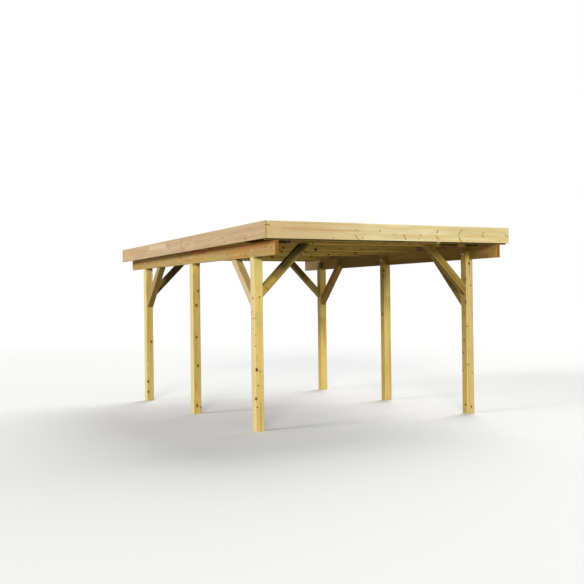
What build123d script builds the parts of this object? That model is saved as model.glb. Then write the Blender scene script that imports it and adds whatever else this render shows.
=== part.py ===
from build123d import *
import os

# Open timber carport, millimetres, floor at Z = 0, X across, Y front to back (front faces -Y)
# The origin is on the floor under the middle of the roof

# Roof outline and fall
ROOF_WIDTH = 3450.0
ROOF_LENGTH = 5250.0
ROOF_FALL = 0.01
FASCIA_THICKNESS = 28.0
FASCIA_HEIGHT = 195.0
FASCIA_FRONT_BOTTOM = 2212.0
FASCIA_JOINT_GAP = 2.0

# Posts
POST_SIZE = 110.0
POST_OUTER_WIDTH = 3180.0
POST_SPACING = 1965.0
POST_ROW_SHIFT = -37.5
POST_HEAD_RISE = 110.0

# Side beams
BEAM_UNDERSIDE = 2030.0
BEAM_HEIGHT = 165.0
BEAM_THICKNESS = 48.0
BEAM_LENGTH = 5140.0

# Knee braces
BRACE_SIZE = 90.0
CROSS_BRACE_LEG = 635.0
FRONT_LENGTH_BRACE_LEG = 655.0
REAR_LENGTH_BRACE_LEG = 640.0
LENGTH_BRACE_LAP = 45.0

# Rafters
RAFTER_THICKNESS = 45.0
INNER_RAFTER_OFFSET = 600.0

# Roof sheets
SHEET_COUNT = 3
RIBS_PER_SHEET = 8
SHEET_THICKNESS = 0.75
RIB_HEIGHT = 20.0
RIB_BASE = 65.0
RIB_CROWN = 35.0
SHEET_TO_FASCIA_TOP = 30.0
SHEET_EDGE_CLEARANCE = 2.0
SHEET_LAP_CLEARANCE = 0.5
REAR_DRIP_SETBACK = 40.0
REAR_DRIP_OVERHANG = 30.0

# Bolts through beam and post head
BOLT_DIAMETER = 12.0
BOLT_HOLE_CLEARANCE = 1.0
BOLT_ABOVE_LEDGE = 77.0
BOLT_HEAD_DIAMETER = 30.0
BOLT_HEAD_HEIGHT = 7.0
WASHER_DIAMETER = 36.0
WASHER_THICKNESS = 3.0
NUT_ACROSS_FLATS = 19.0
NUT_HEIGHT = 10.0
BOLT_END_PROJECTION = 6.0

# Levels and faces that follow from the sizes above
post_outer = POST_OUTER_WIDTH / 2
post_inner = post_outer - POST_SIZE
beam_inner = post_outer - BEAM_THICKNESS
beam_top = BEAM_UNDERSIDE + BEAM_HEIGHT
post_top = BEAM_UNDERSIDE + POST_HEAD_RISE
bolt_level = BEAM_UNDERSIDE + BOLT_ABOVE_LEDGE
roof_front = -ROOF_LENGTH / 2
roof_rear = ROOF_LENGTH / 2
fascia_inner = ROOF_WIDTH / 2 - FASCIA_THICKNESS
rear_board_face = roof_rear - REAR_DRIP_SETBACK
post_rows = {
    "front": POST_ROW_SHIFT - POST_SPACING,
    "middle": POST_ROW_SHIFT,
    "rear": POST_ROW_SHIFT + POST_SPACING,
}
sides = {"left": -1, "right": 1}
length_brace_legs = {"front": FRONT_LENGTH_BRACE_LEG, "rear": REAR_LENGTH_BRACE_LEG}


def fascia_bottom(y):
    return FASCIA_FRONT_BOTTOM - ROOF_FALL * (y - roof_front)


def fascia_top(y):
    return fascia_bottom(y) + FASCIA_HEIGHT


def roof_plane(y):
    return fascia_top(y) - SHEET_TO_FASCIA_TOP - RIB_HEIGHT


def level(z):
    return lambda y: z


def box(x0, x1, y0, y1, z0, z1):
    size = (abs(x1 - x0), abs(y1 - y0), abs(z1 - z0))
    centre = ((x0 + x1) / 2, (y0 + y1) / 2, (z0 + z1) / 2)
    return Pos(*centre) * Box(*size)


def board(x0, x1, y0, y1, bottom, top):
    # Prism along X whose lower and upper edges may follow the fall
    outline = [(y0, bottom(y0)), (y1, bottom(y1)), (y1, top(y1)), (y0, top(y0))]
    face = make_face(Polyline(*outline, close=True))
    return extrude(Plane(origin=(x0, 0, 0), x_dir=(0, 1, 0), z_dir=(1, 0, 0)) * face, x1 - x0)


def along_x(x, y, z, radius, length):
    # Round bar pointing to +X from x
    start = Plane(origin=(x, y, z), x_dir=(0, 1, 0), z_dir=(1, 0, 0))
    return extrude(start * Circle(radius), length)


def mirrored(solid, sign):
    # Parts are drawn for the left side and mirrored over for the right
    return solid if sign < 0 else mirror(solid, about=Plane.YZ)


def make_post(y):
    half = POST_SIZE / 2
    post = box(-post_outer, -post_inner, y - half, y + half, 0, post_top)
    notch = box(-post_outer - 1, -beam_inner, y - half - 1, y + half + 1, BEAM_UNDERSIDE, post_top + 1)
    hole_radius = (BOLT_DIAMETER + BOLT_HOLE_CLEARANCE) / 2
    hole = along_x(-post_outer - 1, y, bolt_level, hole_radius, POST_SIZE + 2)
    return post - notch - hole


def make_beam():
    y0 = POST_ROW_SHIFT - BEAM_LENGTH / 2
    y1 = POST_ROW_SHIFT + BEAM_LENGTH / 2
    beam = box(-post_outer, -beam_inner, y0, y1, BEAM_UNDERSIDE, beam_top)
    hole_radius = (BOLT_DIAMETER + BOLT_HOLE_CLEARANCE) / 2
    for y in post_rows.values():
        beam -= along_x(-post_outer - 1, y, bolt_level, hole_radius, BEAM_THICKNESS + 2)
    return beam


def make_bolt(y):
    # Domed head outside the beam, washer, nut and thread end inside the post head
    plane = Plane(origin=(-post_outer, y, bolt_level), x_dir=(0, 1, 0), z_dir=(-1, 0, 0))
    dome_radius = (BOLT_HEAD_DIAMETER ** 2 / 4 + BOLT_HEAD_HEIGHT ** 2) / (2 * BOLT_HEAD_HEIGHT)
    ball = plane.offset(BOLT_HEAD_HEIGHT - dome_radius) * Sphere(dome_radius)
    head = ball & extrude(plane * Circle(BOLT_HEAD_DIAMETER), BOLT_HEAD_HEIGHT + 1)
    shank_length = POST_SIZE + WASHER_THICKNESS + NUT_HEIGHT + BOLT_END_PROJECTION
    shank = along_x(-post_outer - 1, y, bolt_level, BOLT_DIAMETER / 2, shank_length + 1)
    washer = along_x(-post_inner, y, bolt_level, WASHER_DIAMETER / 2, WASHER_THICKNESS)
    nut_face = Plane(origin=(-post_inner + WASHER_THICKNESS, y, bolt_level), x_dir=(0, 1, 0), z_dir=(1, 0, 0))
    nut = extrude(nut_face * RegularPolygon(NUT_ACROSS_FLATS / 2, 6, major_radius=False), NUT_HEIGHT)
    return head + shank + washer + nut


def brace_outline(leg, top_level):
    # 45 degree brace: run from the post face, height; both ends mitred
    slant = BRACE_SIZE * 2 ** 0.5
    heel = top_level - leg
    return [(0, heel), (leg, top_level), (leg - slant, top_level), (0, heel + slant)]


def make_cross_brace(row):
    # From the inner face of the post up to the rafter that lies over it
    outward = -1 if row == "front" else 1
    outer_face = post_rows[row] + outward * POST_SIZE / 2
    inner_face = outer_face - outward * BRACE_SIZE
    face = make_face(Polyline(*brace_outline(CROSS_BRACE_LEG, beam_top), close=True))
    start = Plane(origin=(-post_inner, max(outer_face, inner_face), 0), x_dir=(1, 0, 0), z_dir=(0, -1, 0))
    return extrude(start * face, BRACE_SIZE)


def make_length_brace(row):
    # From the inward face of the post up to the beam, lapped past the beam on its inner side
    inward = 1 if row == "front" else -1
    post_face = post_rows[row] + inward * POST_SIZE / 2
    lap_top = BEAM_UNDERSIDE + LENGTH_BRACE_LAP
    leg = length_brace_legs[row]
    outline = [(post_face + inward * run, z) for run, z in brace_outline(leg, lap_top)]
    face = make_face(Polyline(*outline, close=True))
    start = Plane(origin=(-post_inner - BRACE_SIZE, 0, 0), x_dir=(0, 1, 0), z_dir=(1, 0, 0))
    brace = extrude(start * face, BRACE_SIZE)
    reach = post_face + inward * (leg + 1)
    seat = box(-post_outer, -beam_inner, post_face, reach, BEAM_UNDERSIDE, lap_top + 1)
    return brace - seat


def make_rafter(y):
    half = RAFTER_THICKNESS / 2
    return board(-fascia_inner, fascia_inner, y - half, y + half, level(beam_top), roof_plane)


def sheet_outline(pitch):
    # Lower line of the profile: a raised lap rib first, then plain ribs, one per pitch
    rise = SHEET_THICKNESS + SHEET_LAP_CLEARANCE
    flank = (RIB_BASE - RIB_CROWN) / 2
    spread = rise * flank / RIB_HEIGHT
    lower = []
    for index in range(RIBS_PER_SHEET + 1):
        lap_rise = rise if index == 0 else 0.0
        lap_spread = spread if index == 0 else 0.0
        x = index * pitch
        lower.append((x - RIB_BASE / 2, lap_rise))
        lower.append((x - RIB_CROWN / 2, RIB_HEIGHT + lap_rise))
        lower.append((x + RIB_CROWN / 2, RIB_HEIGHT + lap_rise))
        lower.append((x + RIB_BASE / 2 + lap_spread, 0.0))
    upper = [(x, z + SHEET_THICKNESS) for x, z in reversed(lower)]
    return lower + upper


def make_sheet(index):
    width = 2 * (fascia_inner - SHEET_EDGE_CLEARANCE)
    pitch = (width - RIB_BASE) / (SHEET_COUNT * RIBS_PER_SHEET)
    first_rib = -width / 2 + RIB_BASE / 2 + index * RIBS_PER_SHEET * pitch
    y0 = roof_front + FASCIA_THICKNESS + SHEET_EDGE_CLEARANCE
    y1 = rear_board_face + REAR_DRIP_OVERHANG
    # Drawn upside down because the sketch plane looks along the fall
    outline = [(x, -z) for x, z in sheet_outline(pitch)]
    start = Plane(origin=(first_rib, y0, roof_plane(y0)), x_dir=(1, 0, 0), z_dir=(0, 1, -ROOF_FALL))
    length = (y1 - y0) * (1 + ROOF_FALL ** 2) ** 0.5
    return extrude(start * make_face(Polyline(*outline, close=True)), length)


parts = {}

for side, sign in sides.items():
    for row, y in post_rows.items():
        parts["post_%s_%s" % (row, side)] = mirrored(make_post(y), sign)
    parts["side_beam_%s" % side] = mirrored(make_beam(), sign)
    for row in ("front", "rear"):
        parts["cross_brace_%s_%s" % (row, side)] = mirrored(make_cross_brace(row), sign)
        parts["length_brace_%s_%s" % (row, side)] = mirrored(make_length_brace(row), sign)
    bolts = [mirrored(make_bolt(y), sign) for y in post_rows.values()]
    parts["beam_bolts_%s" % side] = Compound(children=[b.solid() for b in bolts])

# Rafters: one behind each end board, one over each row of cross braces, three about the middle posts
brace_offset = POST_SPACING + (POST_SIZE - BRACE_SIZE) / 2
rafter_rows = [
    roof_front + FASCIA_THICKNESS + RAFTER_THICKNESS / 2,
    POST_ROW_SHIFT - brace_offset,
    POST_ROW_SHIFT - INNER_RAFTER_OFFSET,
    POST_ROW_SHIFT,
    POST_ROW_SHIFT + INNER_RAFTER_OFFSET,
    POST_ROW_SHIFT + brace_offset,
    rear_board_face - FASCIA_THICKNESS - RAFTER_THICKNESS / 2,
]
for number, y in enumerate(rafter_rows, start=1):
    parts["rafter_%d" % number] = make_rafter(y)

# Fascia boards: the side boards run past the ends of the front and rear boards
front_inner = roof_front + FASCIA_THICKNESS
rear_inner = rear_board_face - FASCIA_THICKNESS
joint_front = POST_ROW_SHIFT - FASCIA_JOINT_GAP / 2
joint_rear = POST_ROW_SHIFT + FASCIA_JOINT_GAP / 2
parts["fascia_front"] = board(-fascia_inner, fascia_inner, roof_front, front_inner, fascia_bottom, fascia_top)
parts["fascia_rear"] = board(
    -fascia_inner, fascia_inner, rear_inner, rear_board_face, level(beam_top), roof_plane)
for side, sign in sides.items():
    x0, x1 = -ROOF_WIDTH / 2, -fascia_inner
    front_half = board(x0, x1, roof_front, joint_front, fascia_bottom, fascia_top)
    rear_half = board(x0, x1, joint_rear, roof_rear, fascia_bottom, fascia_top)
    parts["fascia_%s_front" % side] = mirrored(front_half, sign)
    parts["fascia_%s_rear" % side] = mirrored(rear_half, sign)

for index, name in enumerate(("left", "middle", "right")):
    parts["roof_sheet_%s" % name] = make_sheet(index)

os.makedirs("parts", exist_ok=True)
for name, shape in parts.items():
    export_step(shape, "parts/%s.step" % name)
    print(name, len(shape.solids()), [round(v, 1) for v in shape.bounding_box().size])
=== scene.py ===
import math
import random
from contextlib import contextmanager

import bpy
from mathutils import Matrix, Vector


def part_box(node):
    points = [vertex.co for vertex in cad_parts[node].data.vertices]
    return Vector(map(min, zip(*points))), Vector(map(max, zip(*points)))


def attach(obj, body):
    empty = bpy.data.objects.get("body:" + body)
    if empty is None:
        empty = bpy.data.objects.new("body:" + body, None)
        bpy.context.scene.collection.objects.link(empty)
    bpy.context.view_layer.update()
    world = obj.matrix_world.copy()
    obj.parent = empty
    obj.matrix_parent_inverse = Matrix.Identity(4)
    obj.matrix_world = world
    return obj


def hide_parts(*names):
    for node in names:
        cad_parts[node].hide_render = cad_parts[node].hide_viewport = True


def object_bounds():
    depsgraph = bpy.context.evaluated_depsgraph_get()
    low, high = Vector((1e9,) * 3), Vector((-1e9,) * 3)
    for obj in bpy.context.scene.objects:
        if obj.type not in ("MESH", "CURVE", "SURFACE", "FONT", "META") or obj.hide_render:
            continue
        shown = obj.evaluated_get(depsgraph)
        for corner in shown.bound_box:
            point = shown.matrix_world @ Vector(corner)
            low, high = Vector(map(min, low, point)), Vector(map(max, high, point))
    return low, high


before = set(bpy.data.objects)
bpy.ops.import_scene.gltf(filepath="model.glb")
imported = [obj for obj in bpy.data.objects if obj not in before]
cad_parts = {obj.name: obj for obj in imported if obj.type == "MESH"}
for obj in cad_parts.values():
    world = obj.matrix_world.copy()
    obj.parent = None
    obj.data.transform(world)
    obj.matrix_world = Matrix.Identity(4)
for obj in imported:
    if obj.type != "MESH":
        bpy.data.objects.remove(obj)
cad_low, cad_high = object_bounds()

bl_info = {
    "name": "Timber Carport",
    "version": (1, 0, 0),
    "blender": (4, 5, 0),
    "location": "View3D > Sidebar > Carport",
    "description": "Planed and worn timbers, fixings and roof sheets of an open carport",
    "category": "Object",
}

ROWS = ("front", "middle", "rear")
SIDES = ("left", "right")
RAFTERS = tuple("rafter_%d" % number for number in range(1, 8))

# Knots and cracks seen on faces that look to the front, in millimetres
# node: x and z of one end, x and z of the other end, radius
FRONT_FACE_KNOTS = {
    "fascia_front": (
        (-560, 2265, -510, 2215, 5), (-555, 2330, -550, 2325, 6), (-460, 2240, -455, 2240, 7),
        (-855, 2230, -850, 2230, 7), (-220, 2320, -210, 2330, 5), (-1695, 2360, -1665, 2360, 7.5),
        (-1695, 2320, -1695, 2260, 3), (115, 2280, 150, 2235, 6.5), (365, 2290, 350, 2285, 5),
        (335, 2245, 335, 2240, 6), (615, 2345, 605, 2320, 7), (590, 2285, 600, 2260, 5),
        (600, 2260, 630, 2245, 6.5), (985, 2370, 940, 2320, 4), (940, 2320, 930, 2290, 5.5),
        (940, 2260, 975, 2215, 7), (1320, 2345, 1295, 2300, 4.5), (1295, 2300, 1315, 2275, 6),
        (1570, 2250, 1575, 2245, 6), (1670, 2320, 1685, 2295, 7),
    ),
    "fascia_left_front": (
        (-1715, 2360, -1695, 2360, 8), (-1700, 2330, -1700, 2300, 3),
    ),
    "fascia_right_front": ((1705, 2305, 1710, 2290, 8),),
    "post_front_left": (
        (-1570, 725, -1570, 715, 14), (-1585, 385, -1585, 375, 15), (-1570, 285, -1565, 280, 8),
        (-1555, 535, -1550, 530, 8), (-1530, 700, -1525, 695, 6), (-1585, 1320, -1585, 1315, 6),
        (-1580, 1120, -1580, 1115, 6), (-1585, 1000, -1585, 995, 6), (-1525, 1565, -1525, 1560, 7),
    ),
    "post_front_right": (
        (1530, 1980, 1535, 1970, 13), (1555, 1690, 1555, 1680, 8), (1540, 95, 1540, 85, 12),
        (1490, 1150, 1490, 1145, 7), (1490, 650, 1490, 645, 7), (1575, 1315, 1575, 1310, 7),
        (1560, 540, 1560, 535, 7),
    ),
    "post_middle_left": (
        (-1510, 1670, -1510, 1655, 13), (-1540, 1470, -1540, 1455, 14), (-1540, 1040, -1540, 1030, 14),
        (-1525, 660, -1525, 645, 13), (-1545, 115, -1545, 100, 15), (-1485, 90, -1485, 85, 11),
    ),
    "post_rear_left": (
        (-1510, 915, -1510, 900, 15), (-1570, 300, -1570, 290, 15), (-1570, 140, -1570, 130, 13),
    ),
    "rafter_2": (
        (-1115, 2225, -1110, 2205, 16), (-795, 2205, -790, 2205, 10),
    ),
    "rafter_3": (
        (-500, 2235, -500, 2230, 15), (-5, 2210, 5, 2210, 21), (-560, 2205, -555, 2200, 8),
        (740, 2225, 745, 2220, 10),
    ),
    "rafter_4": (
        (160, 2220, 165, 2215, 15), (995, 2210, 1000, 2205, 13), (-225, 2210, -220, 2205, 13),
    ),
    "rafter_5": (
        (885, 2225, 890, 2220, 19), (410, 2205, 415, 2205, 12),
    ),
    "rafter_6": (
        (1330, 2270, 1335, 2265, 20), (600, 2235, 605, 2230, 19),
    ),
    "cross_brace_front_left": ((-1465, 1705, -1400, 1635, 3),),
}

# The same on faces that look to the left, with y in place of x
LEFT_FACE_KNOTS = {
    "fascia_left_front": (
        (-1440, 2290, -1440, 2285, 9), (-1515, 2240, -1510, 2235, 8), (-2130, 2240, -2125, 2235, 11),
        (-2085, 2235, -2080, 2235, 6), (-135, 2225, -130, 2225, 9), (-2245, 2360, -2240, 2325, 2.5),
    ),
    "fascia_left_rear": (
        (490, 2320, 495, 2315, 14), (470, 2260, 475, 2260, 9), (2205, 2240, 2210, 2235, 11),
    ),
    "side_beam_left": (
        (-2365, 2135, -2360, 2120, 8), (-2520, 2110, -2510, 2105, 8), (-1810, 2060, -1810, 2050, 10),
        (-1280, 2100, -1280, 2095, 11), (-530, 2165, -525, 2160, 11), (-305, 2125, -305, 2110, 9),
        (355, 2135, 360, 2130, 11), (325, 2045, 330, 2040, 8), (1770, 2120, 1775, 2115, 13),
    ),
    "post_front_left": (
        (-2015, 1555, -2015, 1545, 11), (-1990, 1395, -1990, 1390, 7), (-2005, 1310, -2005, 1305, 7),
        (-2005, 1200, -2005, 1195, 7),
    ),
    "post_middle_right": (
        (-85, 1950, -85, 1940, 12), (-85, 1865, -85, 1855, 12), (-35, 1305, -35, 1290, 18),
        (10, 1270, 10, 1260, 10),
    ),
    "post_front_right": (
        (-1965, 1985, -1965, 1975, 11), (-2040, 1775, -2040, 1765, 12), (-2040, 1475, -2040, 1460, 13),
        (-2010, 125, -2010, 110, 13), (-2010, 1320, -2010, 1310, 11), (-2000, 965, -2000, 955, 11),
        (-1985, 805, -1985, 800, 10), (-1970, 575, -1970, 565, 11),
    ),
    "length_brace_front_left": ((-1600, 1895, -1660, 1890, 9),),
}

# Broad marks: both ends and the radius in millimetres, strength, and the name of the colour. Besides real
# stained patches they hold painted shade (the dark and auburn marks) and painted light (the blond marks, and
# the straw marks on shaded posts and braces)
FRONT_FACE_STAINS_AND_PAINTED_LIGHT = {
    "cross_brace_front_left": (
        # Painted shadow of the beam and roof over the upper half of the brace
        (-1310, 1850, -910, 2250, 78, 0.62, "dark_stain"),
        (-1200, 1970, -910, 2260, 90, 0.94, "dark_stain"),
    ),
    # Painted shade over the upper part of the brace
    "cross_brace_rear_left": ((-1200, 1900, -900, 2250, 120, 0.75, "dark_stain"),),
    "cross_brace_rear_right": (
        # Painted shade over the upper part of the brace
        (1150, 1940, 950, 2150, 55, 0.62, "dark_stain"),
        # Painted light on the lower part of the brace
        (1290, 1800, 1460, 1630, 60, 0.35, "straw_stain"),
    ),
    "post_front_left": (
        (-1535, 1900, -1535, 0, 65, 0.34, "straw_stain"),
        (-1530, 1960, -1530, 1900, 45, 0.45, "green_stain"),
        (-1530, 1350, -1530, 1250, 45, 0.50, "green_stain"),
        (-1505, 330, -1505, 150, 40, 0.40, "green_stain"),
        (-1525, 330, -1525, -20, 7, 0.75, "red_stain"),
        # Painted shade under the beam at the post's head
        (-1590, 2030, -1480, 2030, 30, 0.55, "dark_stain"),
    ),
    # Painted shade under the beam at the heads of these two posts
    "post_middle_left": ((-1590, 2030, -1480, 2030, 30, 0.45, "dark_stain"),),
    "post_rear_left": ((-1590, 2030, -1480, 2030, 30, 0.45, "dark_stain"),),
    "post_middle_right": (
        # Painted shade at the head
        (1480, 2110, 1540, 2110, 90, 0.55, "dark_stain"),
        # Painted light over the shaded upper face
        (1550, 1930, 1550, 1600, 55, 0.55, "straw_stain"),
    ),
    "post_rear_right": (
        # Painted light over the shaded upper face
        (1545, 1980, 1545, 1300, 90, 0.75, "straw_stain"),
        # Painted shade at the head
        (1480, 2105, 1600, 2105, 85, 0.85, "dark_stain"),
    ),
    "post_front_right": (
        # Painted shade under the beam at the head
        (1480, 2120, 1590, 2120, 60, 0.30, "dark_stain"),
        (1545, 1950, 1545, 0, 70, 0.25, "pale_stain"),
    ),
    "fascia_front": (
        (-1700, 2310, -1100, 2310, 300, 0.42, "tan_stain"),
        (-1700, 2310, -600, 2310, 220, 0.35, "tan_stain"),
        (-1500, 2325, -500, 2315, 15, 0.22, "red_stain"),
    ),
    "fascia_right_front": ((1710, 2200, 1710, 2420, 20, 0.95, "cream_stain"),),
    "rafter_2": (
        # Painted shade where the front board and the beams shade the rafter
        (-1700, 2210, -1180, 2210, 64, 0.95, "dark_stain"),
        (1120, 2225, 1330, 2225, 48, 0.85, "dark_stain"),
        (1530, 2225, 1700, 2225, 48, 0.85, "dark_stain"),
    ),
    "rafter_1": (
        # Painted shade on the strip under the front board
        (-1700, 2195, 100, 2195, 35, 0.95, "dark_stain"),
        (0, 2195, 600, 2195, 35, 0.90, "dark_stain"),
        (700, 2195, 1700, 2195, 45, 0.97, "dark_stain"),
    ),
}
LEFT_FACE_STAINS_AND_PAINTED_LIGHT = {
    "post_front_left": ((-2000, 1950, -2000, 0, 80, 0.35, "tan_stain"),),
    "side_beam_left": (
        (-2590, 2190, 200, 2190, 36, 0.75, "red_stain"),
        (-580, 2175, -440, 2170, 30, 0.95, "red_stain"),
        (-1900, 2125, -1350, 2120, 24, 0.35, "red_stain"),
    ),
    "side_beam_right": (
        # Painted light on the rear end of the beam
        (2080, 2110, 2600, 2110, 110, 0.92, "blond_stain"),
        # Painted shade over the middle of the face and along its lower edge
        (200, 2110, 1300, 2110, 130, 0.50, "dark_stain"),
        (-2400, 2040, 200, 2040, 65, 0.36, "dark_stain"),
    ),
    # Painted shade along the brace's side
    "length_brace_rear_right": ((1900, 1480, 1200, 2180, 120, 0.70, "auburn_stain"),),
    "fascia_left_rear": ((600, 2310, 1290, 2310, 42, 0.55, "pale_stain"),),
}

# How light each board is, where it differs from its neighbours. Partly painted light and shade: the front
# left cross brace and the rear right post are lighter where light falls, the rear left braces darker where
# shade falls
BOARD_TONES = {
    "post_front_left": 1.15,
    "post_front_right": 1.12,
    "post_middle_left": 0.97,
    "post_middle_right": 1.10,
    "post_rear_left": 0.96,
    "post_rear_right": 1.35,
    "cross_brace_front_left": 1.25,
    "cross_brace_rear_left": 0.80,
    "length_brace_rear_left": 0.78,
    "length_brace_rear_right": 0.88,
}

# How far the outer side gets its bleaching and painted light, where it doesn't get it all over; the rear
# left length brace hardly, as it stands in shade
BLEACHED_AND_LIT_SHARE = {
    "length_brace_rear_left": 0.04,
}

# How far a cutter runs past the wood, and how near a point has to be to lie in a face, in metres
CUT_MARGIN = 0.02
FACE_TOLERANCE = 1e-4

# Wood screws: how far they sit from a rafter's underside and top, in metres
SCREW_LOW_EDGE = 0.045
SIDE_SCREW_TOP_EDGE = 0.025
FRONT_SCREW_TOP_EDGE = 0.03

# Wood screws in a brace: shares of its leg, and places beside its middle line in metres
BRACE_SCREW_SHARES = (0.10, 0.86)
BRACE_SCREW_OFFSETS = (-0.018, 0.018)

# Lesser sizes of the fixings, in metres; levels are heights over the surface they sit on
WASHER_EDGE = 0.0008
NUT_EDGE = 0.0012
WOOD_SCREW_LEVELS = (-0.0008, 0.0003)
WOOD_SCREW_EDGE = 0.0002
SOCKET_DEPTH = 0.002
SOCKET_MIDDLE = 0.0004
ROOF_SEAL_LEVELS = (-0.0005, 0.0022)
ROOF_HEAD_LEVELS = (0.0022, 0.0075)
ROOF_SCREW_EDGE = 0.0008

# How much of a head's height is rounded, how wide a thread is at its root and at the bolt's tip, and how
# wide a socket is: its radius as a share of the screw's diameter
HEAD_ROUNDING = 0.85
THREAD_ROOT = 0.88
THREAD_TIP = 0.8
SOCKET_SHARE = 0.26

# How squarely a face has to look along the grain to be a sawn end, and down to be an underside
END_FACING = 0.6
UNDERSIDE_FACING = 0.5

# Where the pith runs beside each timber's middle, and how far it strays from there, in metres
PITHS = {
    "post_timber": (0.03, -0.045),
    "beam_timber": (0.02, 0.085),
    "brace_timber": (0.035, 0.05),
    "rafter_timber": (0.03, 0.06),
    "fascia_timber": (0.01, 0.07),
}
PITH_STRAY = 0.012

# Each timber starts anywhere in a log of this length in metres, and its tone lies between these
LOG_LENGTH = 60.0
TONES = (0.95, 1.05)

# Noise in the wood: waves in a metre along the grain, and across it
SWAY = (0.7, 2.0)
RIPPLE = (6.0, 20.0)
FIBRE = (3.0, 320.0)
STREAK = (0.9, 22.0)
PATCH = (1.6, 7.0)
SPLIT = (1.3, 75.0)
WOBBLE = (2.0, 14.0)

# Distances from a knot or a broad mark, in its radii, over which each thing grows from nothing to full
KNOT_FADE = (1.1, 0.75)
HALO_FADE = (2.6, 0.9)
SWELL_FADE = (6.0, 0.5)
STAIN_AND_PAINTED_LIGHT_FADE = (1.3, 0.4)

# How much each thing covers of the colour under it
PAINTED_SHADE_COVER = 0.82
HALO_COVER = 0.40
KNOT_COVER = 0.94
CHECK_COVER = 0.8

# Red, green and blue shares of the wood's own colour
LATE_WOOD_SHADE = (0.62, 0.50, 0.42)
HALO_SHADE = (0.72, 0.54, 0.34)
END_RING_SHADE = (0.52, 0.42, 0.35)

# Colours of the seen background and of the light from all round
WHITE = (1.0, 1.0, 1.0, 1.0)
SKY = (0.97, 0.985, 1.0, 1.0)

# How far off the lamps hang, and how far the camera sees, in metres; its sensor in millimetres
LAMP_DISTANCE = 20
CLIP_END = 500.0
SENSOR_WIDTH = 36.0


def length_property(**row):
    return bpy.props.FloatProperty(unit="LENGTH", **row)


def angle_property(default, **row):
    """An angle whose default is given in degrees."""
    return bpy.props.FloatProperty(default=math.radians(default), subtype="ANGLE", **row)


def colour_property(**row):
    return bpy.props.FloatVectorProperty(subtype="COLOR", size=3, min=0.0, max=1.0, **row)


def properties(make, **rows):
    """Properties of one kind, each from its description and default. The keys give the labels."""
    return {
        key: make(name=key.replace("_", " ").capitalize(), description=description, default=default)
        for key, (description, default) in rows.items()
    }


class CarportTimber(bpy.types.PropertyGroup):
    """Sizes of the timbers' finish."""

    __annotations__ = properties(
        length_property,
        arris=("Rounding of the planed edges", 0.003),
        # The strip is painted lighter, partly as wear and partly as a highlight
        worn_margin=("Width of the rubbed strip beside an edge", 0.006),
        ring_pitch=("Spacing of the growth rings", 0.0055),
        knot_spacing=("Usual distance between small knots", 0.13),
    )


class CarportFixings(bpy.types.PropertyGroup):
    """Sizes of the bolts and screws."""

    __annotations__ = properties(
        length_property,
        bolt_diameter=("Diameter of the bolts", 0.012),
        head_diameter=("Diameter of the domed heads", 0.030),
        head_height=("Height of the domed heads", 0.007),
        washer_diameter=("Diameter of the washers", 0.036),
        washer_thickness=("Thickness of the washers", 0.003),
        nut_flats=("Width across the nuts' flats", 0.019),
        nut_height=("Height of the nuts", 0.010),
        thread_pitch=("Pitch of the bolt ends' thread", 0.0018),
        screw_diameter=("Diameter of the countersunk screw heads", 0.009),
        roof_screw_flats=("Width across the roof screws' heads", 0.008),
        roof_seal_diameter=("Diameter of the washers under the roof screws", 0.019),
    )


class CarportRoof(bpy.types.PropertyGroup):
    """Sizes of the sheets' profile that the roof screws follow."""

    __annotations__ = {
        **properties(bpy.props.IntProperty, ribs=("Rib spacings across the whole roof", 24)),
        **properties(
            length_property,
            rib_base=("Width of a rib at its foot", 0.065),
            lap_rise=("How much higher a lapping rib lies", 0.00125),
        ),
    }


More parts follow.
